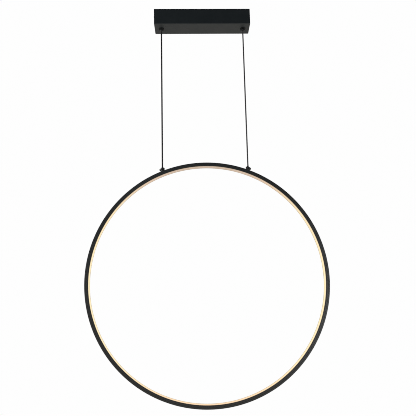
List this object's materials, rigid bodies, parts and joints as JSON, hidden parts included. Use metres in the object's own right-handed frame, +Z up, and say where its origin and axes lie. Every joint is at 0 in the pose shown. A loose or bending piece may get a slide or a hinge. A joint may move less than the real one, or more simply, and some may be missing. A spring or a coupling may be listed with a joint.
{
  "type": "ring pendant light",
  "caption": "Pendant light with an upright ring that glows inward, hung by adjustable cables from a long rectangular ceiling box.",
  "frame": {"origin": "middle of the ceiling bracket's top face, on the ceiling plane", "axes": "+Z up, out of the ceiling face; +X along the ceiling box; +Y to the back; the ring stands in the XZ plane"},
  "size_m": [0.8, 0.062, 1.36],
  "materials": {
    "black_coat": "matte black powder coat",
    "plated_steel": "bright zinc plate",
    "black_metal": "satin black plate",
    "ball_steel": "polished",
    "spring_steel": "drawn wire",
    "supply_cable": "smooth black sheath",
    "steel_cable": "dark grey sheath",
    "driver_plastic": "moulded",
    "board_green": "solder mask",
    "component_dark": "moulded",
    "terminal_white": "moulded",
    "bush_rubber": "soft black",
    "lead_sheath": "smooth",
    "nylon": "moulded",
    "diffuser_opal": "opal, lit from behind",
    "strip_white": "flexible strip",
    "led_yellow": "phosphor"
  },
  "bodies": {
    "canopy": {"ceiling_bracket": "plated_steel", "canopy_housing": "black_coat", "canopy_side_screws": "black_metal", "entry_bush": "bush_rubber", "cord_clamp": "driver_plastic", "cord_clamp_screws": "plated_steel", "earth_screw": "plated_steel", "earth_washer": "plated_steel", "terminal_block": "terminal_white", "terminal_screws": "plated_steel", "terminal_block_screws": "plated_steel", "driver_lid": "driver_plastic", "driver_case": "driver_plastic", "driver_board": "board_green", "driver_components": "component_dark", "driver_screws": "plated_steel", "supply_leads": "lead_sheath", "output_leads": "lead_sheath", "output_plug": "terminal_white", "gripper_locknuts": "plated_steel", "gripper_lock_washers": "plated_steel", "left_gripper_cup": "black_metal", "right_gripper_cup": "black_metal"},
    "swivel_liners": {"left_swivel_liner": "nylon", "right_swivel_liner": "nylon"},
    "left_hanger": {"left_gripper_barrel": "black_metal", "left_gripper_cap": "plated_steel", "left_suspension_cable": "supply_cable"},
    "left_release": {"left_release_plunger": "black_metal", "left_clamp_balls": "ball_steel", "left_release_spring": "spring_steel"},
    "left_cable_end": {"left_cable_ball": "ball_steel", "left_cable_collar": "black_metal"},
    "right_hanger": {"right_gripper_barrel": "black_metal", "right_gripper_cap": "plated_steel", "right_suspension_cable": "steel_cable"},
    "right_release": {"right_release_plunger": "black_metal", "right_clamp_balls": "ball_steel", "right_release_spring": "spring_steel"},
    "right_cable_end": {"right_cable_ball": "ball_steel", "right_cable_collar": "black_metal"},
    "ball_seats": {"left_ball_seat": "nylon", "right_ball_seat": "nylon"},
    "ring": {"ring_profile": "black_coat", "splice_plate": "plated_steel", "splice_screws": "plated_steel", "ring_diffuser": "diffuser_opal", "led_strip": "strip_white", "led_chips": "led_yellow", "ring_feed_lead": "lead_sheath", "anchor_slide_nuts": "plated_steel", "left_anchor_base": "black_metal", "left_anchor_cap": "black_metal", "right_anchor_base": "black_metal", "right_anchor_cap": "black_metal"}
  },
  "joints": [
    {"name": "swing", "type": "hinge", "parent": "canopy", "child": "swivel_liners", "pos_m": [0, 0, -0.0548], "axis": [1, 0, 0], "range_deg": [-8, 8]},
    {"name": "side_sway", "type": "hinge", "parent": "swivel_liners", "child": "left_hanger", "pos_m": [-0.146, 0, -0.0548], "axis": [0, 1, 0], "range_deg": [-8, 8]},
    {"name": "right_sway", "type": "hinge", "parent": "swivel_liners", "child": "right_hanger", "pos_m": [0.146, 0, -0.0548], "axis": [0, 1, 0], "range_deg": [-8, 8]},
    {"name": "height_adjust", "type": "slide", "parent": "left_hanger", "child": "left_cable_end", "axis": [0, 0, 1], "range_m": [0, 0.3], "deforming": ["left_suspension_cable"]},
    {"name": "right_height", "type": "slide", "parent": "right_hanger", "child": "right_cable_end", "axis": [0, 0, 1], "range_m": [0, 0.3], "deforming": ["right_suspension_cable"]},
    {"name": "ring_level", "type": "hinge", "parent": "left_cable_end", "child": "ball_seats", "pos_m": [-0.146, 0, -0.58202], "axis": [0, 1, 0], "range_deg": [-8, 8]},
    {"name": "ring_tilt", "type": "hinge", "parent": "ball_seats", "child": "ring", "pos_m": [0, 0, -0.58202], "axis": [1, 0, 0], "range_deg": [-8, 8]},
    {"name": "left_release_press", "type": "slide", "parent": "left_hanger", "child": "left_release", "axis": [0, 0, 1], "range_m": [0, 0.002], "stiffness_N_per_m": 400, "springref_m": -0.004, "deforming": ["left_release_spring"]},
    {"name": "right_release_press", "type": "slide", "parent": "right_hanger", "child": "right_release", "axis": [0, 0, 1], "range_m": [0, 0.002], "stiffness_N_per_m": 400, "springref_m": -0.004, "deforming": ["right_release_spring"]}
  ],
  "couplings": [
    {"joint": "right_sway", "follows": "side_sway", "ratio": 1},
    {"joint": "ring_level", "follows": "side_sway", "ratio": -1},
    {"joint": "right_height", "follows": "height_adjust", "ratio": 1}
  ]
}
